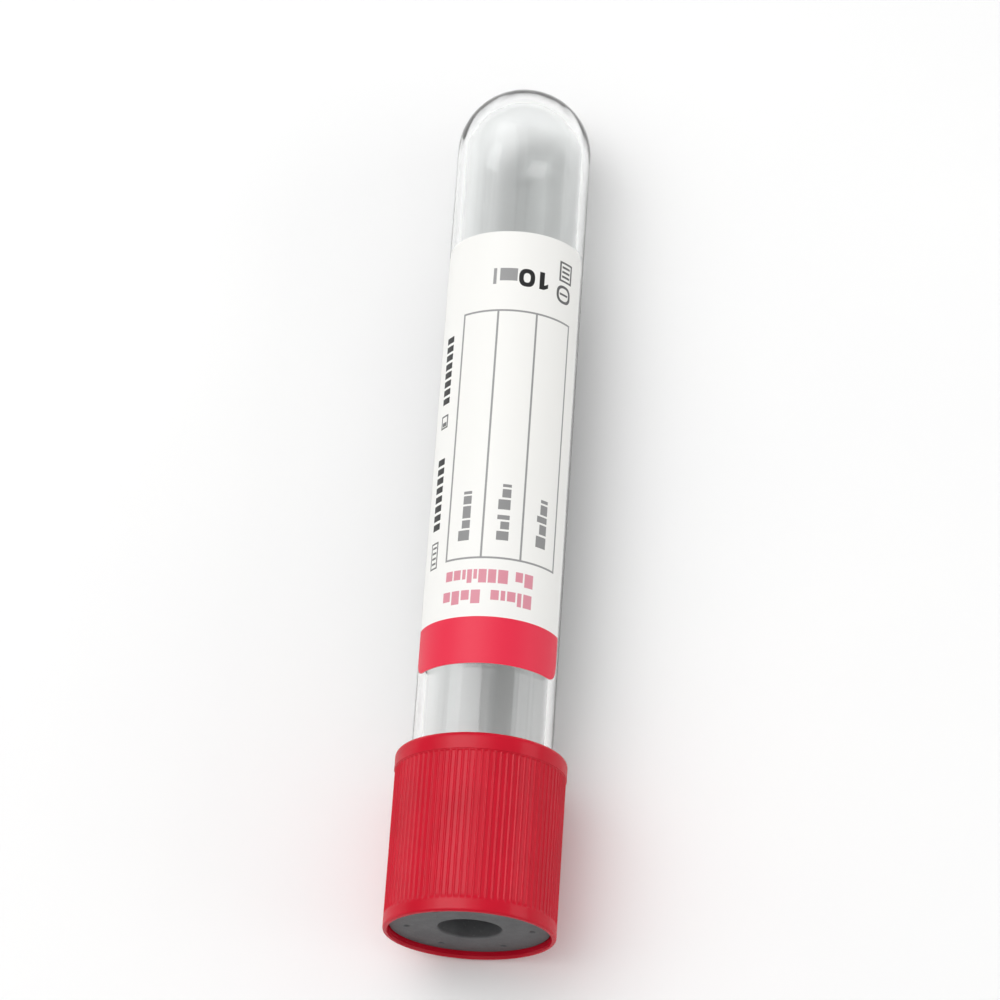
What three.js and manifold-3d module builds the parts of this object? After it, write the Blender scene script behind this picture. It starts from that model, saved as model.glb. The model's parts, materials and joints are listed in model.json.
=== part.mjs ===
// Evacuated blood collection tube, 16 x 100 mm: a round-bottomed glass tube,
// a grey rubber stopper in its mouth, a ribbed red plastic cap round the
// stopper's head and the top of the glass, and a paper label on the wall.
//
// Millimetres, +Z up. The tube lies on its side with the label upwards: its
// axis runs along Y, the cap towards -Y and the round bottom towards +Y. The
// cap is wider than the glass, so the axis slopes down a little towards the
// bottom. The origin is on the surface it lies on, under the middle of the
// object's box.
//
// Every piece is drawn upright first: radii about the Y axis, and h along it,
// counted from the cap's end face towards the round bottom of the glass.
//
// The glass and the cap's collar are drawn with the same number of sides and
// with one side of each facing straight down, so the tube lies on those two.
// Their diameters are measured across the flats.
import * as THREE from "three";
import { mergeVertices } from "three/addons/utils/BufferGeometryUtils.js";
import Module from "manifold-3d";

// ---- driving dimensions (mm) ----

const SIDES = 28; // of the glass and of the cap's collar

// glass tube
const GLASS_OD = 16.0;
const GLASS_ID = 13.8;
const GLASS_LENGTH = 100.0;
const RIM_H = 5.5; // the glass rim, seen from the cap's end face
const RIM_ROUND = 0.45; // fire-polished edge
const BOTTOM_STEPS = 9;

// rubber stopper
const FACE_H = 0.7; // its face sits below the cap's rim
const HEAD_D = 17.5;
const HEAD_END_H = 5.2;
const PLUG_CORE_D = 12.7;
const PLUG_RING_D = 13.2; // sealing rings, clear of the glass bore
const PLUG_RING_H = [7.4, 10.2, 13.0]; // middle of each sealing ring
const PLUG_RING_WIDTH = 1.2;
const PLUG_END_H = 16.0;
const WELL_D = 7.0; // needle well in the face
const WELL_END_H = 4.9;
const RECESS_D = 7.8; // hollow in the plug's underside
const RECESS_END_H = 8.1;
const STOPPER_SIDES = 48;
const DIMPLE_COUNT = 6;
const DIMPLE_RING_D = 14.0;
const DIMPLE_D = 0.8;
const DIMPLE_DEPTH = 0.3;

// cap
const COLLAR_OD = 19.5; // smooth and slightly proud of the ribbed wall
const COLLAR_START_H = 18.85;
const COLLAR_FULL_END_H = 20.0; // its edge is rounded from here
const CAP_LENGTH = 20.6;
const WALL_OD = 19.32; // over the ribs
const CAP_RIM_OUTER_D = 18.84; // flat end rim
const CAP_RIM_INNER_D = 18.4;
const RIM_BEVEL_H = 0.2; // bevelled inner edge of the end rim
const HEAD_BORE_D = 18.1; // holds the stopper's head
const LEDGE_H = 5.5; // ledge under the stopper's head
const SKIRT_BORE_D = 16.7; // round the glass
const RIB_COUNT = 84;
const RIB_DEPTH = 0.17;
const RIB_START_H = 1.5;
const RIB_END_H = 18.7;
const RIB_RUNOUT = 0.25;
const FLAT_HOLLOW = 0.005; // flats between corners, so that the corners bear

// label
const LABEL_WIDTH = 21.0; // round the glass
const LABEL_LENGTH = 54.0;
const LABEL_START_H = 29.2;
const LABEL_CORNER = 2.0;
const LABEL_INNER_R = GLASS_OD / 2 + 0.16;
const LABEL_THICKNESS = 0.16;
const LABEL_COLUMNS = 40;

// ---- solids ----

const wasm = await Module();
wasm.setup();

// A closed mesh with its shared vertices merged, as a solid.
function solid(geometry) {
  const g = geometry.clone();
  g.deleteAttribute("normal");
  g.deleteAttribute("uv");
  const merged = mergeVertices(g, 1e-4);
  return new wasm.Manifold(
    new wasm.Mesh({
      numProp: 3,
      vertProperties: new Float32Array(merged.attributes.position.array),
      triVerts: new Uint32Array(merged.index.array),
    }),
  );
}

// A solid's triangles as flat-shaded geometry.
function geometryOf(made) {
  const mesh = made.getMesh();
  const g = new THREE.BufferGeometry();
  const position = new Float32Array(mesh.numVert * 3);
  for (let i = 0; i < mesh.numVert; i++)
    for (let k = 0; k < 3; k++)
      position[i * 3 + k] = mesh.vertProperties[i * mesh.numProp + k];
  g.setAttribute("position", new THREE.BufferAttribute(position, 3));
  g.setIndex(new THREE.BufferAttribute(new Uint32Array(mesh.triVerts), 1));
  const flat = g.toNonIndexed();
  flat.computeVertexNormals();
  return flat;
}

// A closed body of revolution from [radius to the flats, h] pairs. A flat of
// it faces straight down and another straight up.
function revolve(profile, sides) {
  const corner = 1 / Math.cos(Math.PI / sides);
  const points = profile.map(([r, h]) => new THREE.Vector2(r * corner, h));
  return new THREE.LatheGeometry(points, sides, Math.PI / sides, 2 * Math.PI);
}

// ---- glass tube: one wall with a fire-polished rim and a round bottom ----

function glassTube() {
  const R = GLASS_OD / 2;
  const r = GLASS_ID / 2;
  const centreH = RIM_H + GLASS_LENGTH - R;
  const profile = [];
  // inner bottom, from the axis out to the bore
  for (let i = 0; i <= BOTTOM_STEPS; i++) {
    const a = (i / BOTTOM_STEPS) * (Math.PI / 2);
    profile.push([
      i ? r * Math.sin(a) : 0,
      centreH + r * Math.cos(a),
    ]);
  }
  // rim, from the bore round to the outside
  const wall = R - r;
  const e = Math.min(RIM_ROUND, wall / 2);
  profile.push([r, RIM_H + e]);
  profile.push([r + e * 0.3, RIM_H + e * 0.3]);
  profile.push([r + e, RIM_H]);
  profile.push([R - e, RIM_H]);
  profile.push([R - e * 0.3, RIM_H + e * 0.3]);
  profile.push([R, RIM_H + e]);
  // outer bottom, from the wall to the axis
  for (let i = BOTTOM_STEPS; i >= 0; i--) {
    const a = (i / BOTTOM_STEPS) * (Math.PI / 2);
    profile.push([
      i ? R * Math.sin(a) : 0,
      centreH + R * Math.cos(a),
    ]);
  }
  return revolve(profile, SIDES);
}

// ---- rubber stopper: head, needle well, plug with sealing rings, recess ----

function rubberStopper() {
  const headR = HEAD_D / 2;
  const coreR = PLUG_CORE_D / 2;
  const ringR = PLUG_RING_D / 2;
  const wellR = WELL_D / 2;
  const recessR = RECESS_D / 2;
  const profile = [
    // recess in the underside, from the axis out
    [0, RECESS_END_H],
    [recessR - 0.9, RECESS_END_H],
    [recessR - 0.3, RECESS_END_H + 0.7],
    [recessR, PLUG_END_H - 0.4],
    [recessR + 0.4, PLUG_END_H],
    // plug end and its lead-in
    [coreR - 0.7, PLUG_END_H],
    [coreR, PLUG_END_H - 1.2],
  ];
  for (const h of [...PLUG_RING_H].reverse()) {
    const w = PLUG_RING_WIDTH / 2;
    profile.push([coreR, h + w]);
    profile.push([ringR, h + w * 0.4]);
    profile.push([ringR, h - w * 0.4]);
    profile.push([coreR, h - w]);
  }
  profile.push(
    // underside of the head, head wall, face
    [coreR, HEAD_END_H],
    [headR - 0.3, HEAD_END_H],
    [headR, HEAD_END_H - 0.3],
    [headR, FACE_H + 0.3],
    [headR - 0.3, FACE_H],
    // needle well
    [wellR + 0.3, FACE_H],
    [wellR, FACE_H + 0.3],
    [wellR - 0.3, WELL_END_H - 0.6],
    [wellR - 0.9, WELL_END_H],
    [0, WELL_END_H],
  );
  let made = solid(revolve(profile.reverse(), STOPPER_SIDES));
  // small moulding dimples round the face
  for (let i = 0; i < DIMPLE_COUNT; i++) {
    const a = ((i + 0.5) / DIMPLE_COUNT) * 2 * Math.PI;
    const pit = new THREE.LatheGeometry(
      [
        [0, -0.5],
        [DIMPLE_D / 2, -0.5],
        [DIMPLE_D / 2, 0],
        [DIMPLE_D * 0.22, DIMPLE_DEPTH],
        [0, DIMPLE_DEPTH],
      ].map(([x, y]) => new THREE.Vector2(x, y)),
      10,
    );
    pit.translate(
      (DIMPLE_RING_D / 2) * Math.sin(a),
      FACE_H,
      (DIMPLE_RING_D / 2) * Math.cos(a),
    );
    const tool = solid(pit);
    made = made.subtract(tool);
  }
  return geometryOf(made);
}

// ---- cap: a sleeve with fine ribs outside and a ledge inside ----

function cap() {
  const R = WALL_OD / 2;
  const collarR = COLLAR_OD / 2;
  const headBore = HEAD_BORE_D / 2;
  const skirtBore = SKIRT_BORE_D / 2;
  // [radius, h, rib depth in the hollows between ribs, sides where these are
  // fewer], a closed outline
  const outline = [
    // bore of the skirt, its mouth and its rounded shoulder
    [skirtBore, LEDGE_H, 0],
    [skirtBore, CAP_LENGTH - 0.5, 0],
    [skirtBore + 0.35, CAP_LENGTH, 0],
    // smooth collar
    [collarR - 0.6, CAP_LENGTH, 0, SIDES],
    [collarR - 0.18, CAP_LENGTH - 0.18, 0, SIDES],
    [collarR, COLLAR_FULL_END_H, 0, SIDES],
    [collarR, COLLAR_START_H, 0, SIDES],
    // ribbed wall
    [R, RIB_END_H, 0],
    [R, RIB_END_H - RIB_RUNOUT, RIB_DEPTH],
    [R, RIB_START_H + RIB_RUNOUT, RIB_DEPTH],
    [R, RIB_START_H, 0],
    // rounded edge and flat end rim
    [R, 0.45, 0],
    [R - 0.1, 0.14, 0],
    [CAP_RIM_OUTER_D / 2, 0, 0],
    [CAP_RIM_INNER_D / 2, 0, 0],
    // bore round the stopper's head, down to the ledge
    [headBore, RIM_BEVEL_H, 0],
    [headBore, LEDGE_H, 0],
    [skirtBore, LEDGE_H, 0],
  ].reverse();
  const sides = 2 * RIB_COUNT;
  const g = new THREE.LatheGeometry(
    outline.map(([r, h]) => new THREE.Vector2(r, h)),
    sides,
    Math.PI / RIB_COUNT,
    2 * Math.PI,
  );
  // Every second column of vertices lies in a hollow between two ribs. Where
  // there are no ribs, the columns lie on the flats between the corners.
  const p = g.attributes.position;
  const rows = outline.length;
  for (let i = 0; i <= sides; i++)
    for (let j = 0; j < rows; j++) {
      const k = i * rows + j;
      const [r, , depth, flats = RIB_COUNT] = outline[j];
      const side = (2 * Math.PI) / flats;
      const turned = (i * Math.PI) / RIB_COUNT + Math.PI / RIB_COUNT - Math.PI;
      const past = turned - side * Math.round(turned / side);
      const corner = Math.abs(past) > side / 2 - 1e-6;
      const inset = (i % 2 ? depth : 0) + (corner ? 0 : FLAT_HOLLOW);
      const scale = 1 / Math.cos(past) - inset / r;
      p.setX(k, p.getX(k) * scale);
      p.setZ(k, p.getZ(k) * scale);
    }
  return g;
}

// ---- label: a thin sheet with rounded corners, bent round the glass ----

function label() {
  const sheet = new THREE.BoxGeometry(2, 2, 2, LABEL_COLUMNS, 1, 1);
  const p = sheet.attributes.position;
  const halfW = LABEL_WIDTH / 2;
  const halfL = LABEL_LENGTH / 2;
  const midH = LABEL_START_H + halfL;
  for (let i = 0; i < p.count; i++) {
    // closer columns towards the two long edges, where the corners are
    const t = p.getX(i);
    const u = halfW * (0.35 * t + 0.65 * Math.sin((t * Math.PI) / 2));
    const past = Math.max(0, Math.abs(u) - (halfW - LABEL_CORNER));
    const half =
      halfL -
      LABEL_CORNER +
      Math.sqrt(Math.max(0, LABEL_CORNER ** 2 - past ** 2));
    const a = u / (GLASS_OD / 2);
    const r = LABEL_INNER_R + (p.getZ(i) > 0 ? LABEL_THICKNESS : 0);
    p.setXYZ(
      i,
      r * Math.sin(a),
      midH + Math.sign(p.getY(i)) * half,
      r * Math.cos(a),
    );
  }
  sheet.computeVertexNormals();
  return sheet;
}

// ---- assembly ----

function piece(name, geometry, material) {
  const mesh = new THREE.Mesh(geometry, material);
  mesh.name = name;
  return mesh;
}

const tube = new THREE.Group();
tube.add(
  piece(
    "glass_tube",
    glassTube(),
    new THREE.MeshStandardMaterial({
      color: 0xdfe8e4,
      roughness: 0.04,
      metalness: 0,
      transparent: true,
      opacity: 0.35,
    }),
  ),
  piece(
    "rubber_stopper",
    rubberStopper(),
    new THREE.MeshStandardMaterial({
      color: 0x63666a,
      roughness: 0.72,
      metalness: 0,
    }),
  ),
  piece(
    "cap",
    cap(),
    new THREE.MeshStandardMaterial({
      color: 0xc4122f,
      roughness: 0.32,
      metalness: 0,
    }),
  ),
  piece(
    "label",
    label(),
    new THREE.MeshStandardMaterial({
      color: 0xf1f0ed,
      roughness: 0.6,
      metalness: 0,
    }),
  ),
);

// It lies on two lines: the flat under the last full diameter of the collar,
// and the flat under the end of the glass wall. Their radii give the slope.
const span = RIM_H + GLASS_LENGTH - GLASS_OD / 2 - COLLAR_FULL_END_H;
tube.rotation.x = -Math.atan2((COLLAR_OD - GLASS_OD) / 2, span);

// Put its box's bottom centre on the origin.
tube.updateMatrixWorld(true);
const box = new THREE.Box3().setFromObject(tube, true);
tube.position.set(
  -(box.min.x + box.max.x) / 2,
  -(box.min.y + box.max.y) / 2,
  -box.min.z,
);

const group = new THREE.Group();
group.add(tube);
group.updateMatrixWorld(true);

export default group;
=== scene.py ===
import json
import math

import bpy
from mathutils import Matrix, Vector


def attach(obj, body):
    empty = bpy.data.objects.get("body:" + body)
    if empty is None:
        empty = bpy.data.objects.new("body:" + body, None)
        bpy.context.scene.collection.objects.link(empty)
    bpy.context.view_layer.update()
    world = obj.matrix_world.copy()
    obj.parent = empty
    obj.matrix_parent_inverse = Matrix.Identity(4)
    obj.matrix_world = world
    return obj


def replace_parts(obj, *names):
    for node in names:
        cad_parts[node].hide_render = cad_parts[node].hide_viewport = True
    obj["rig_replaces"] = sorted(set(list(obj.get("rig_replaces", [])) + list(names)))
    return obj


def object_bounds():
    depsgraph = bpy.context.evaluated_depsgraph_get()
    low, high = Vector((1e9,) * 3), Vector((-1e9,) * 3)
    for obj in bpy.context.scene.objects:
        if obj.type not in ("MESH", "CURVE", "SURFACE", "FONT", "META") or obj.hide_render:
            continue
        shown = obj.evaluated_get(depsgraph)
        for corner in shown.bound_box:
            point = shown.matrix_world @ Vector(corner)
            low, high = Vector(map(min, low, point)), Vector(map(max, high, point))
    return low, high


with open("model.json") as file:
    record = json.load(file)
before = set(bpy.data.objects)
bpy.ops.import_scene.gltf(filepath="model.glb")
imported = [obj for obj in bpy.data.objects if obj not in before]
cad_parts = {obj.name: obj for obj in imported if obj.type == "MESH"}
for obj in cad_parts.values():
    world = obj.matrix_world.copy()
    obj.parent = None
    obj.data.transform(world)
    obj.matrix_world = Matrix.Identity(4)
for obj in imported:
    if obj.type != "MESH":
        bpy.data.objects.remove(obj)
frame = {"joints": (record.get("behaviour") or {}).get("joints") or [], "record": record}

# A blood collection tube lying on its side: glass, rubber stopper, ribbed red
# cap and paper label. Lengths below are millimetres in the tube's own terms:
# r from its axis, turn round it (0 at the middle of the label), and h along it
# from the cap's end face towards the round bottom.

MM = 0.001

# ---- where the CAD put the tube ----

joint = next(j for j in frame["joints"] if j["name"] == "closure_pull")
cap_end = next(m for m in frame["record"]["mounts"] if m["name"] == "cap_end")
ALONG = -Vector(joint["axis"]).normalized()
ACROSS = Vector((1, 0, 0))
OUT = ACROSS.cross(ALONG).normalized()
ORIGIN = Vector(cap_end["pos_m"])
ORIGIN.x = 0

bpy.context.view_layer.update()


def place(r, turn, h):
    """A point of the tube in the row frame, in metres."""
    return ORIGIN + (
        ALONG * h + (ACROSS * math.sin(turn) + OUT * math.cos(turn)) * r
    ) * MM


# ---- meshes ----


def rounded(corners, closed, steps=6, guard=0.03):
    """[r, h] points of an outline whose corners [r, h, radius] are rounded, with a holding point beside each arc."""
    out = []
    n = len(corners)
    for k, (r, h, radius) in enumerate(corners):
        p = Vector((r, h))
        if radius == 0 or (not closed and k in (0, n - 1)):
            out.append((r, h))
            continue
        before = Vector(corners[k - 1][:2]) - p
        after = Vector(corners[(k + 1) % n][:2]) - p
        u, v = before.normalized(), after.normalized()
        angle = u.angle(v)
        reach = radius / math.tan(angle / 2)
        centre = p + (u + v).normalized() * (radius / math.sin(angle / 2))
        start, end = p + u * reach, p + v * reach
        room = min(before.length, after.length) - reach
        hold = min(guard, 0.25 * max(room, 0))
        if hold > 0.002:
            out.append(tuple(start + u * hold))
        a, b = start - centre, end - centre
        sweep = math.atan2(a.x * b.y - a.y * b.x, a.dot(b))
        for i in range(steps + 1):
            t = sweep * i / steps
            c, s = math.cos(t), math.sin(t)
            out.append(
                (centre.x + a.x * c - a.y * s, centre.y + a.x * s + a.y * c)
            )
        if hold > 0.002:
            out.append(tuple(end + v * hold))
    return out


def split(points, longest, closed=False):
    """The same outline with no step longer than that."""
    out = []
    count = len(points)
    for k in range(count if closed else count - 1):
        (r0, h0), (r1, h1) = points[k], points[(k + 1) % count]
        pieces = max(1, math.ceil(math.hypot(r1 - r0, h1 - h0) / longest))
        for i in range(pieces):
            t = i / pieces
            out.append((r0 + (r1 - r0) * t, h0 + (h1 - h0) * t))
    if not closed:
        out.append(points[-1])
    return out


def new_piece(name, points, faces, own, body, node, material):
    mesh = bpy.data.meshes.new(name)
    mesh.from_pydata(points, [], faces)
    mesh.validate()
    mesh.polygons.foreach_set("use_smooth", [True] * len(mesh.polygons))
    place_of = mesh.attributes.new("own", "FLOAT_VECTOR", "POINT")
    place_of.data.foreach_set("vector", [c for p in own for c in p])
    piece = bpy.data.objects.new(name, mesh)
    bpy.context.scene.collection.objects.link(piece)
    mesh.materials.append(material)
    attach(piece, body)
    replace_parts(piece, node)
    return piece


def turned(name, outline, turns, closed, shape, body, node, material):
    """A closed body of revolution. shape(r, h, turn, row) gives the point's own r and h. The outline runs with the material on its left, seen with r to the right and h up."""
    points, own, faces = [], [], []
    rings = []
    for row, (r, h) in enumerate(outline):
        ring = []
        for turn in turns if r > 1e-6 else turns[:1]:
            rr, hh = shape(r, h, turn, row) if r > 1e-6 else (0.0, h)
            ring.append(len(points))
            points.append(place(rr, turn, hh))
            own.append((rr * math.sin(turn), rr * math.cos(turn), hh))
        rings.append(ring)
    n = len(turns)
    last = len(rings) if closed else len(rings) - 1
    for j in range(last):
        a, b = rings[j], rings[(j + 1) % len(rings)]
        for i in range(n):
            k = (i + 1) % n
            if len(a) == 1:
                faces.append((a[0], b[k], b[i]))
            elif len(b) == 1:
                faces.append((a[i], a[k], b[0]))
            else:
                faces.append((a[i], a[k], b[k], b[i]))
    return new_piece(name, points, faces, own, body, node, material)


# ---- node helpers ----


class Tree:
    """A material's nodes, with short names for the sums that the looks need."""

    def __init__(self, name):
        self.material = bpy.data.materials.new(name)
        self.material.use_nodes = True
        self.tree = self.material.node_tree
        self.tree.nodes.clear()
        self.surface = self.add("ShaderNodeBsdfPrincipled")
        output = self.add("ShaderNodeOutputMaterial")
        self.link(self.surface.outputs["BSDF"], output.inputs["Surface"])

    def add(self, kind, **settings):
        node = self.tree.nodes.new(kind)
        for key, value in settings.items():
            setattr(node, key, value)
        return node

    def link(self, a, b):
        self.tree.links.new(a, b)

    def put(self, value, socket):
        if isinstance(value, bpy.types.NodeSocket):
            self.link(value, socket)
        else:
            socket.default_value = value

    def math(self, operation, *values):
        node = self.add("ShaderNodeMath", operation=operation)
        for value, socket in zip(values, node.inputs):
            self.put(value, socket)
        return node.outputs[0]

    def own(self, scale=(1, 1, 1)):
        """The point's own place in the tube's terms, scaled for a texture."""
        attribute = self.add("ShaderNodeAttribute", attribute_name="own")
        node = self.add("ShaderNodeVectorMath", operation="MULTIPLY")
        self.link(attribute.outputs["Vector"], node.inputs[0])
        node.inputs[1].default_value = scale
        return node.outputs[0]

    def noise(self, where, scale, detail=3.0, roughness=0.5):
        node = self.add("ShaderNodeTexNoise")
        self.link(where, node.inputs["Vector"])
        node.inputs["Scale"].default_value = scale
        node.inputs["Detail"].default_value = detail
        node.inputs["Roughness"].default_value = roughness
        return node.outputs["Fac"]

    def remap(self, value, a, b, c, d):
        node = self.add("ShaderNodeMapRange")
        self.link(value, node.inputs["Value"])
        for key, v in zip(("From Min", "From Max", "To Min", "To Max"), (a, b, c, d)):
            node.inputs[key].default_value = v
        return node.outputs["Result"]

    def bump(self, height, strength, distance):
        node = self.add("ShaderNodeBump")
        self.link(height, node.inputs["Height"])
        node.inputs["Strength"].default_value = strength
        node.inputs["Distance"].default_value = distance
        self.link(node.outputs["Normal"], self.surface.inputs["Normal"])

    def set(self, **values):
        for key, value in values.items():
            self.put(value, self.surface.inputs[key.replace("_", " ")])


def mix_colour(tree, factor, a, b):
    """Two colours mixed. A Mix node has several sockets of each name, and these are the ones for colours."""
    node = tree.add("ShaderNodeMix", data_type="RGBA")
    tree.put(factor, node.inputs[0])
    for value, socket in ((a, node.inputs[6]), (b, node.inputs[7])):
        tree.put((*value, 1.0) if isinstance(value, tuple) else value, socket)
    return node.outputs[2]


# ---- looks ----


def glass_look():
    t = Tree("clear_glass")
    smear = t.noise(t.own((1, 1, 0.2)), 0.35, 3.0)
    t.set(
        Base_Color=(0.985, 0.995, 0.992, 1.0),
        Roughness=t.remap(smear, 0.45, 0.75, 0.0, 0.03),
        IOR=1.5,
        Transmission_Weight=1.0,
    )
    return t.material


def rubber_look():
    t = Tree("grey_rubber")
    cloud = t.noise(t.own(), 0.55, 4.0, 0.6)
    grain = t.noise(t.own(), 9.0, 3.0, 0.6)
    base = mix_colour(
        t, t.remap(cloud, 0.35, 0.7, 0.0, 1.0), (0.074, 0.076, 0.079), (0.102, 0.104, 0.107)
    )
    speck = t.remap(t.noise(t.own(), 3.2, 2.0), 0.66, 0.72, 0.0, 0.35)
    t.set(
        Base_Color=mix_colour(t, speck, base, (0.2, 0.2, 0.2)),
        Roughness=t.remap(grain, 0.3, 0.7, 0.5, 0.68),
        IOR=1.48,
    )
    t.bump(grain, 0.25, 0.00006)
    return t.material


def cap_look():
    t = Tree("red_plastic")
    cloud = t.noise(t.own(), 0.18, 3.0)
    fine = t.noise(t.own(), 0.9, 2.0, 0.5)
    base = mix_colour(
        t, t.remap(cloud, 0.35, 0.65, 0.0, 1.0), (0.51, 0.003, 0.018), (0.57, 0.004, 0.022)
    )
    t.set(
        Base_Color=base,
        Roughness=t.remap(fine, 0.3, 0.7, 0.42, 0.5),
        IOR=1.5,
        Specular_IOR_Level=0.0,
        Coat_Weight=0.45,
        Coat_Roughness=0.22,
        Coat_IOR=1.5,
    )
    t.bump(fine, 0.03, 0.00008)
    return t.material


# ---- the label's print ----

LABEL_W, LABEL_L = 21.0, 54.0
LABEL_START = 29.2
SHEET = 56.0  # millimetres across the label's map: the front at 1, the back at 25

WHITE = (0.86, 0.855, 0.83)
BAND = (0.76, 0.02, 0.058)
PINK = (0.67, 0.27, 0.33)
GREY = (0.3, 0.3, 0.3)
BLACK = (0.012, 0.012, 0.013)


class Print:
    """Flat marks on the label's front: u across it from its left edge and v along it from the cap's side, in millimetres."""

    def __init__(self, tree):
        self.t = tree
        uv = tree.add("ShaderNodeUVMap", uv_map="OFBake")
        parts = tree.add("ShaderNodeSeparateXYZ")
        tree.link(uv.outputs["UV"], parts.inputs[0])
        mm = [tree.math("MULTIPLY", parts.outputs[k], SHEET) for k in (0, 1)]
        self.u = tree.math("SUBTRACT", mm[0], 1.0)
        self.v = tree.math("SUBTRACT", mm[1], 1.0)
        self.colour = WHITE

    def between(self, x, low, high):
        return self.t.math("COMPARE", x, (low + high) / 2, (high - low) / 2)

    def both(self, a, b):
        return self.t.math("MULTIPLY", a, b)

    def either(self, *masks):
        total = masks[0]
        for m in masks[1:]:
            total = self.t.math("MAXIMUM", total, m)
        return total

    def box(self, u0, u1, v0, v1):
        return self.both(self.between(self.u, u0, u1), self.between(self.v, v0, v1))

    def frame(self, u0, u1, v0, v1, line):
        inner = self.box(u0 + line, u1 - line, v0 + line, v1 - line)
        return self.t.math("SUBTRACT", self.box(u0, u1, v0, v1), inner)

    def ring(self, u, v, a, b, line):
        """An upright oval ring with half-widths a and b."""
        t = self.t

        def inside(a, b):
            x = t.math("DIVIDE", t.math("SUBTRACT", self.u, u), a)
            y = t.math("DIVIDE", t.math("SUBTRACT", self.v, v), b)
            power = 2.5
            x = t.math("POWER", t.math("ABSOLUTE", x), power)
            y = t.math("POWER", t.math("ABSOLUTE", y), power)
            return t.math("LESS_THAN", t.math("ADD", x, y), 1.0)

        return t.math("SUBTRACT", inside(a, b), inside(a - line, b - line))

    def blocks(self, along, start, widths, gap, across, base, height):
        """A row of plain blocks in place of a line of print. widths are (width, share of the height), and (width, 0) is a space; a negative height grows towards lower values."""
        t = self.t
        ramp = t.add("ShaderNodeValToRGB")
        ramp.color_ramp.interpolation = "CONSTANT"
        total = sum(w for w, _ in widths) + gap * (len(widths) - 1)
        marks = []
        x = 0.0
        for w, share in widths:
            if share:
                marks += [(x, share), (x + w, 0.0)]
            x += w + gap
        elements = ramp.color_ramp.elements
        elements.remove(elements[-1])
        elements[0].position = 0.0
        elements[0].color = (0, 0, 0, 1)
        for position, share in marks:
            e = elements.new(0.01 + 0.98 * position / total)
            e.color = (share, share, share, 1)
        where = t.math("SUBTRACT", along, start - total / 98)
        t.link(t.math("MULTIPLY", where, 0.98 / total), ramp.inputs["Fac"])
        level = t.math("DIVIDE", t.math("SUBTRACT", across, base), height)
        return self.both(
            t.math("LESS_THAN", level, ramp.outputs["Color"]),
            t.math("GREATER_THAN", level, 0.0),
        )

    def paint(self, mask, colour):
        self.colour = mix_colour(self.t, mask, self.colour, colour)


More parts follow.
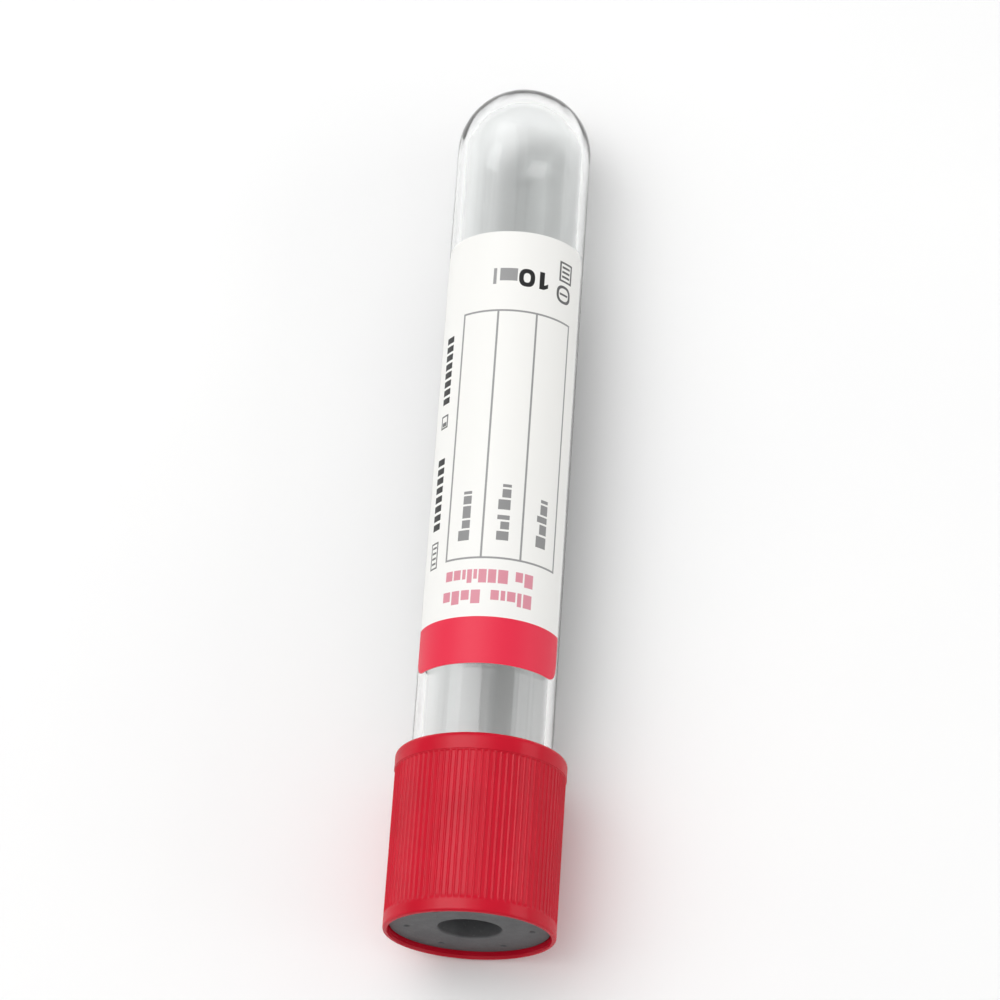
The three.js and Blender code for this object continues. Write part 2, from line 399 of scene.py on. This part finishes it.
def label_look():
    t = Tree("label_paper")
    p = Print(t)
    u, v = p.u, p.v
    front = p.between(u, -0.5, 21.5)

    # the paper isn't quite even: faint long clouds under the print
    shade = t.remap(t.noise(t.own((1, 1, 0.3)), 0.25, 2.0), 0.3, 0.7, 0.0, 0.07)
    p.colour = mix_colour(t, shade, WHITE, (0.75, 0.74, 0.71))

    # the red band at the cap's end of the label
    p.paint(p.both(front, p.between(v, -0.5, 5.6)), BAND)

    # two lines of words, as plain blocks: they stand on their heads, as the
    # whole print does when the cap is towards the reader
    backwards = t.math("MULTIPLY", u, -1.0)
    x, c = 0.72, 1.0
    first = [(1.08, c), (0.5, c), (0.98, x), (0.5, x), (0.98, x), (0.75, 0), (1.08, c), (0.98, x), (0.98, c), (0.98, x)]
    second = [(1.1, c), (0.92, x), (0.5, 0), (1.15, c), (0.92, c), (0.92, c), (0.42, x), (0.58, c), (0.42, x), (0.88, x), (0.92, x)]
    line_1 = p.blocks(backwards, -15.62, first, 0.21, v, 8.8, -1.65)
    line_2 = p.blocks(backwards, -15.66, second, 0.18, v, 11.3, -1.65)
    p.paint(p.either(line_1, line_2), PINK)

    # the ruled table: three columns
    u0, u1, v0, v1, line = 4.8, 18.8, 12.6, 43.85, 0.24
    stops = (u0, 9.33, 13.87, u1)
    rules = [p.frame(u0, u1, v0, v1, line)]
    for at in stops[1:3]:
        rules.append(p.box(at - line / 2, at + line / 2, v0, v1))
    p.paint(p.either(*rules), GREY)

    # a caption in each column, reading along the tube
    caps = []
    rows = (
        [(1.25, c), (1.0, x), (1.5, x), (1.0, x), (0.35, x)],
        [(1.1, c), (0.95, x), (0.55, c), (0.2, 0), (1.25, c), (1.05, x), (0.35, x)],
        [(1.4, c), (1.2, x), (0.75, c), (1.2, x), (0.4, x)],
    )
    for k, row in enumerate(rows):
        caps.append(
            p.blocks(v, 14.9, row, 0.24, u, (stops[k] + stops[k + 1]) / 2 + 0.7, -1.4)
        )
    p.paint(p.either(*caps), (0.26, 0.26, 0.26))

    # the figure 10 and two plain shapes in place of its unit
    zero = p.ring(12.4, 48.1, 0.95, 1.15, 0.54)
    one = p.box(13.92, 14.54, 46.98, 49.22)
    flag = p.both(
        p.between(u, 14.5, 15.05),
        p.between(t.math("SUBTRACT", v, t.math("MULTIPLY", u, 0.6)), 38.28, 38.82),
    )
    p.paint(p.either(zero, one, flag), BLACK)
    unit = p.blocks(backwards, -11.28, [(2.05, 0.79), (0.38, c)], 0.4, v, 49.2, -2.05)
    p.paint(unit, (0.3, 0.3, 0.3))

    # a ring with a bar and a barred frame in place of two marks
    ring = p.ring(17.4, 47.3, 1.12, 1.15, 0.34)
    bar = p.box(16.75, 18.05, 47.17, 47.43)
    marks = [ring, bar, p.frame(16.55, 18.6, 48.9, 51.5, 0.25)]
    for at in (49.6, 50.2, 50.8):
        marks.append(p.box(16.95, 18.2, at - 0.14, at + 0.14))
    p.paint(p.either(*marks), (0.11, 0.11, 0.11))

    # two groups of small dashes, as a date printer leaves them
    dash = [(0.8, c)] * 8
    dates = [
        p.blocks(v, 17.1, dash, 0.36, u, 1.9, 1.4),
        p.blocks(v, 33.0, dash, 0.31, u, 1.9, 1.4),
    ]
    p.paint(p.either(*dates), (0.025, 0.025, 0.025))
    marks = [
        p.frame(1.9, 3.3, 12.3, 15.6, 0.2),
        p.frame(1.9, 3.3, 29.9, 31.6, 0.22),
        p.box(2.2, 3.0, 30.2, 30.7),
    ]
    for at in (13.0, 13.65, 14.3, 14.95):
        marks.append(p.box(2.2, 3.0, at - 0.13, at + 0.13))
    p.paint(p.either(*marks), (0.13, 0.13, 0.13))

    # only the front is printed
    colour = mix_colour(t, front, (0.82, 0.82, 0.8), p.colour)
    fibre = t.noise(t.own(), 5.0, 4.0, 0.6)
    t.set(
        Base_Color=colour,
        Roughness=t.remap(fibre, 0.3, 0.7, 0.38, 0.5),
        IOR=1.48,
        Specular_IOR_Level=0.38,
    )
    t.bump(fibre, 0.06, 0.00004)
    return t.material


# ---- glass tube ----

GLASS_R = 7.985
BORE_R = 6.9
RIM_H = 5.5
GLASS_END_H = 105.48

columns = 256
even = [2 * math.pi * i / columns for i in range(columns)]

wall = split([(BORE_R, 97.2), (BORE_R, 6.1)], 2.2)
outside = [(GLASS_R, 6.1), (GLASS_R, 97.5)]
outline = []
steps = 26
for i in range(steps):  # inside of the round bottom, a little thicker at its middle
    a = i / steps * math.pi / 2
    outline.append((BORE_R * math.sin(a) if i else 0.0, 97.2 + 6.85 * math.cos(a)))
outline += wall
lip = (GLASS_R - BORE_R) / 2
middle = (GLASS_R + BORE_R) / 2
for i in range(1, 12):  # fire-polished rim
    a = i / 12 * math.pi
    outline.append((middle - lip * math.cos(a), 6.05 - lip * 1.0 * math.sin(a)))
outline += split(outside, 6.0)
for i in range(steps - 1, -1, -1):  # outside of the round bottom
    a = i / steps * math.pi / 2
    outline.append(
        (GLASS_R * math.sin(a) if i else 0.0, 97.5 + (GLASS_END_H - 97.5) * math.cos(a))
    )
inner_rows = steps + len(wall)


def glass_shape(r, h, turn, row):
    """Drawn tubing isn't quite even: bore and outside change a little round the tube and hardly along it."""
    if r < 3:
        return r, h
    if row < inner_rows:
        ripple = (
            0.011 * math.sin(5 * turn + 0.6)
            + 0.008 * math.sin(9 * turn + 2.1 + h * 0.01)
            + 0.005 * math.sin(17 * turn + 0.9)
        )
    else:
        ripple = (
            0.0024 * math.sin(6 * turn + 1.3)
            + 0.0014 * math.sin(13 * turn + 0.4 + h * 0.012)
            + 0.0010 * math.sin(22 * turn + 2.0)
        )
    near_rim = min(1.0, max(0.0, (h - 6.1) / 3))
    return r + ripple * near_rim * (r - 3) / (BORE_R - 3), h


turned(
    "glass_tube_clear", outline, even, False, glass_shape, "tube", "glass_tube", glass_look()
)

# ---- rubber stopper ----

FACE_H = 0.8
DIMPLE_R = 7.0
corners = [
    (0, 8.1, 0),
    (3.2, 8.1, 0.4),
    (3.75, 9.4, 0.5),
    (3.9, 15.6, 0.3),
    (4.35, 16.0, 0.12),
    (5.75, 16.0, 0.3),
    (6.38, 14.9, 0.6),
]
for mid in (13.0, 10.2, 7.4):  # sealing rings
    corners += [
        (6.38, mid + 0.75, 0.16),
        (6.87, mid + 0.28, 0.16),
        (6.87, mid - 0.28, 0.16),
        (6.38, mid - 0.75, 0.16),
    ]
corners += [
    (6.38, 5.42, 0.15),
    (8.99, 5.42, 0.25),
    (8.99, FACE_H, 0.14),
    (3.55, FACE_H, 0.22),
    (3.3, 4.9, 0.7),
    (0, 4.9, 0),
]
outline = rounded(corners, False, 5)
refined = []
for k, (a, b) in enumerate(zip(outline, outline[1:])):
    flat_face = abs(a[1] - FACE_H) < 1e-6 and abs(b[1] - FACE_H) < 1e-6
    if flat_face and abs(a[0] - b[0]) > 2:
        # closer rows where the dimples are
        rows = [a[0]] + [8.2, 7.7] + [7.56 - 0.07 * i for i in range(17)] + [6.2, 5.2, 4.4]
        refined += [(r, FACE_H) for r in rows if b[0] < r <= a[0]]
    else:
        refined += split([a, b], 2.0)[:-1]
outline = refined + [outline[-1]]

columns = 432
even = [2 * math.pi * i / columns for i in range(columns)]
DIMPLES = [(k + 0.5) / 6 * 2 * math.pi for k in range(6)]


def stopper_shape(r, h, turn, row):
    if abs(h - FACE_H) > 1e-6 or not 6.3 < r < 7.7:
        return r, h
    for a in DIMPLES:
        away = math.hypot(
            r * math.sin(turn) - DIMPLE_R * math.sin(a),
            r * math.cos(turn) - DIMPLE_R * math.cos(a),
        )
        if away < 0.36:
            return r, h + 0.26 * (1 - (away / 0.36) ** 2) ** 0.7
    return r, h


turned(
    "rubber_stopper_grey", outline, even, False, stopper_shape, "closure", "rubber_stopper", rubber_look()
)

# ---- cap ----

WALL_R = 9.655
COLLAR_R = 9.735
RIB_COUNT = 84
RIB_DEPTH = 0.12
RIB_LOW, RIB_HIGH = 1.35, 18.52
corners = [
    (8.35, 5.5, 0.05),
    (9.05, 5.5, 0.05),
    (9.05, 0.3, 0.1),
    (9.17, 0.0, 0.06),
    (WALL_R, 0.0, 0.3),
    (WALL_R, 18.56, 0.02),
    (COLLAR_R, 18.62, 0.03),
    (COLLAR_R, 20.6, 0.55),
    (8.35, 20.6, 0.3),
]
outline = rounded(corners, True, 6)
refined = []
for k, (a, b) in enumerate(zip(outline, outline[1:] + outline[:1])):
    refined.append(a)
    if abs(a[0] - WALL_R) < 1e-6 and abs(b[0] - WALL_R) < 1e-6 and b[1] - a[1] > 5:
        rows = [1.3, 1.4, 1.5, 1.62, 1.76, 1.92, 2.1] + [
            2.1 + (18.2 - 2.1) * i / 6 for i in range(1, 7)
        ] + [18.3, 18.38, 18.44, 18.48, 18.52]
        refined += [(WALL_R, h) for h in rows]
outline = refined

steps = (-0.32, -0.25, -0.19, -0.13, -0.06, 0.06, 0.13, 0.19, 0.25, 0.32)
turns = [
    2 * math.pi * (k + s) / RIB_COUNT for k in range(RIB_COUNT) for s in steps
]


def smooth(x):
    x = min(1.0, max(0.0, x))
    return x * x * (3 - 2 * x)


def cap_shape(r, h, turn, row):
    if abs(r - WALL_R) > 1e-6 or not RIB_LOW < h < RIB_HIGH:
        return r, h
    pitch = turn * RIB_COUNT / (2 * math.pi)
    off = abs(pitch - round(pitch))
    ridge = 1 - smooth((off - 0.03) / 0.22)
    ends = smooth((h - RIB_LOW) / 0.6) * smooth((RIB_HIGH - h) / 0.14)
    return r - RIB_DEPTH * (1 - ridge) * ends, h


turned("cap_ribbed", outline, turns, True, cap_shape, "closure", "cap", cap_look())

# ---- label ----

LABEL_IN_R, LABEL_OUT_R = 7.995, 8.085
CORNER = 2.0


def label_sheet():
    across, along = 64, 40
    half_w, half_l = LABEL_W / 2, LABEL_L / 2
    points, own, faces, maps = [], [], [], []
    lines = []
    for i in range(across + 1):
        t = 2 * i / across - 1
        lines.append(half_w * (0.35 * t + 0.65 * math.sin(t * math.pi / 2)))
    grid = {}
    for side, r in ((0, LABEL_OUT_R), (1, LABEL_IN_R)):
        for i, u in enumerate(lines):
            past = max(0.0, abs(u) - (half_w - CORNER))
            half = half_l - CORNER + math.sqrt(max(0.0, CORNER**2 - past**2))
            for j in range(along + 1):
                v = half * (2 * j / along - 1)
                turn = u / 8.04
                h = LABEL_START + half_l + v
                grid[side, i, j] = len(points)
                points.append(place(r, turn, h))
                own.append((r * math.sin(turn), r * math.cos(turn), h))
                shift = 1.0 if side == 0 else 25.0
                maps.append(((shift + u + half_w) / SHEET, (1.0 + v + half_l) / SHEET))
    for i in range(across):
        for j in range(along):
            a, b, c, d = ((i, j), (i + 1, j), (i + 1, j + 1), (i, j + 1))
            faces.append([grid[0, x, y] for x, y in (a, d, c, b)])
            faces.append([grid[1, x, y] for x, y in (a, b, c, d)])
    edge = (
        [(i, 0) for i in range(across)]
        + [(across, j) for j in range(along)]
        + [(i, along) for i in range(across, 0, -1)]
        + [(0, j) for j in range(along, 0, -1)]
    )
    rim = []
    for k, a in enumerate(edge):
        b = edge[(k + 1) % len(edge)]
        rim.append(len(faces))
        faces.append([grid[0, *a], grid[0, *b], grid[1, *b], grid[1, *a]])
    return points, own, faces, maps, set(rim)


points, own, faces, maps, rim = label_sheet()
label = new_piece(
    "label_printed", points, faces, own, "tube", "label", label_look()
)
uv = label.data.uv_layers.new(name="OFBake")
for polygon in label.data.polygons:
    for k, loop in enumerate(polygon.loop_indices):
        vertex = label.data.loops[loop].vertex_index
        if polygon.index in rim:  # the cut edge takes plain paper, beside the back
            uv.data[loop].uv = ((48.0 + 0.4 * (k in (2, 3))) / SHEET, maps[vertex][1])
        else:
            uv.data[loop].uv = maps[vertex]
label.data.set_sharp_from_angle(angle=math.radians(40))

# ---- check that each body faces outwards ----


def volume(mesh):
    total = 0.0
    for polygon in mesh.polygons:
        a, *rest = [mesh.vertices[i].co for i in polygon.vertices]
        for b, c in zip(rest, rest[1:]):
            total += a.dot(b.cross(c)) / 6
    return total


for piece in [o for o in bpy.context.scene.objects if o.type == "MESH" and o.get("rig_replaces")]:
    if volume(piece.data) < 0:
        piece.data.flip_normals()

# ---- floor, light and camera ----

lo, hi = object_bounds()


def floor_look():
    t = Tree("pale_floor")
    place_of = t.add("ShaderNodeTexCoord")
    grain = t.noise(place_of.outputs["Object"], 18.0, 3.0)
    t.set(
        Base_Color=mix_colour(t, t.remap(grain, 0.3, 0.7, 0.0, 1.0), (0.9, 0.9, 0.9), (0.92, 0.92, 0.915)),
        Roughness=0.75,
    )
    return t.material


floor_mesh = bpy.data.meshes.new("floor")
half = 14.0
floor_mesh.from_pydata(
    [(-half, -half, lo.z - 0.00002), (half, -half, lo.z - 0.00002), (half, half, lo.z - 0.00002), (-half, half, lo.z - 0.00002)],
    [],
    [(0, 1, 2, 3)],
)
floor = bpy.data.objects.new("floor", floor_mesh)
bpy.context.scene.collection.objects.link(floor)
floor_mesh.materials.append(floor_look())

world = bpy.data.worlds.new("soft_room")
bpy.context.scene.world = world
world.use_nodes = True
nodes, links = world.node_tree.nodes, world.node_tree.links
nodes.clear()
where = nodes.new("ShaderNodeTexCoord")
parts = nodes.new("ShaderNodeSeparateXYZ")
ramp = nodes.new("ShaderNodeValToRGB")
back = nodes.new("ShaderNodeBackground")
out = nodes.new("ShaderNodeOutputWorld")
links.new(where.outputs["Generated"], parts.inputs[0])
links.new(parts.outputs["Z"], ramp.inputs["Fac"])
links.new(ramp.outputs["Color"], back.inputs["Color"])
links.new(back.outputs["Background"], out.inputs["Surface"])
ramp.color_ramp.elements[0].position = 0.0
ramp.color_ramp.elements[0].color = (0.775, 0.775, 0.775, 1)
ramp.color_ramp.elements[1].position = 0.7
ramp.color_ramp.elements[1].color = (0.9, 0.9, 0.9, 1)
back.inputs["Strength"].default_value = 0.62


def softbox(name, at, aim, size, power):
    data = bpy.data.lights.new(name, "AREA")
    data.shape = "RECTANGLE"
    data.size, data.size_y = size
    data.energy = power
    lamp = bpy.data.objects.new(name, data)
    bpy.context.scene.collection.objects.link(lamp)
    lamp.location = at
    lamp.rotation_mode = "QUATERNION"
    lamp.rotation_quaternion = (Vector(aim) - Vector(at)).to_track_quat("-Z", "Y")
    return lamp


# the key is one soft source: a wide panel with a brighter middle, so that its
# reflection in the glass has no hard edge
softbox("key_wide", (-0.33, 0.12, 0.7), (0, 0, 0), (1.1, 1.2), 2.0)
softbox("key_middle", (-0.32, 0.12, 0.69), (0, 0, 0), (0.75, 0.85), 1.4)
softbox("key_heart", (-0.31, 0.12, 0.68), (0, 0, 0), (0.42, 0.5), 1.2)
softbox("fill", (0.6, 0.0, 0.22), (0, 0, 0), (0.6, 0.3), 0.8)

# the camera: 67 degrees from the axis on the cap's side, a little to the right
# of the label's middle, and rolled so that the round bottom leans right
middle = place(0, 0, 52.4)
from_axis, round_turn, roll = math.radians(67.2), math.radians(4), math.radians(4.05)
towards = (
    ALONG * -math.cos(from_axis)
    + (ACROSS * math.sin(round_turn) + OUT * math.cos(round_turn)) * math.sin(from_axis)
).normalized()
up = (ALONG - towards * ALONG.dot(towards)).normalized()
right = up.cross(towards).normalized()
up, right = up * math.cos(roll) - right * math.sin(roll), right * math.cos(roll) + up * math.sin(roll)

camera_data = bpy.data.cameras.new("camera")
camera = bpy.data.objects.new("camera", camera_data)
bpy.context.scene.collection.objects.link(camera)
camera_data.sensor_width = 36.0
camera_data.lens = 135.7
camera_data.clip_start, camera_data.clip_end = 0.01, 20.0
eye = middle + towards * 0.437
matrix = camera.matrix_world.copy()
for row in range(3):
    matrix[row][0], matrix[row][1], matrix[row][2], matrix[row][3] = (
        right[row],
        up[row],
        towards[row],
        eye[row],
    )
camera.matrix_world = matrix
bpy.context.scene.camera = camera

scene = bpy.context.scene
scene.view_settings.view_transform = "Standard"
scene.view_settings.look = "None"
scene.view_settings.exposure = 0.0
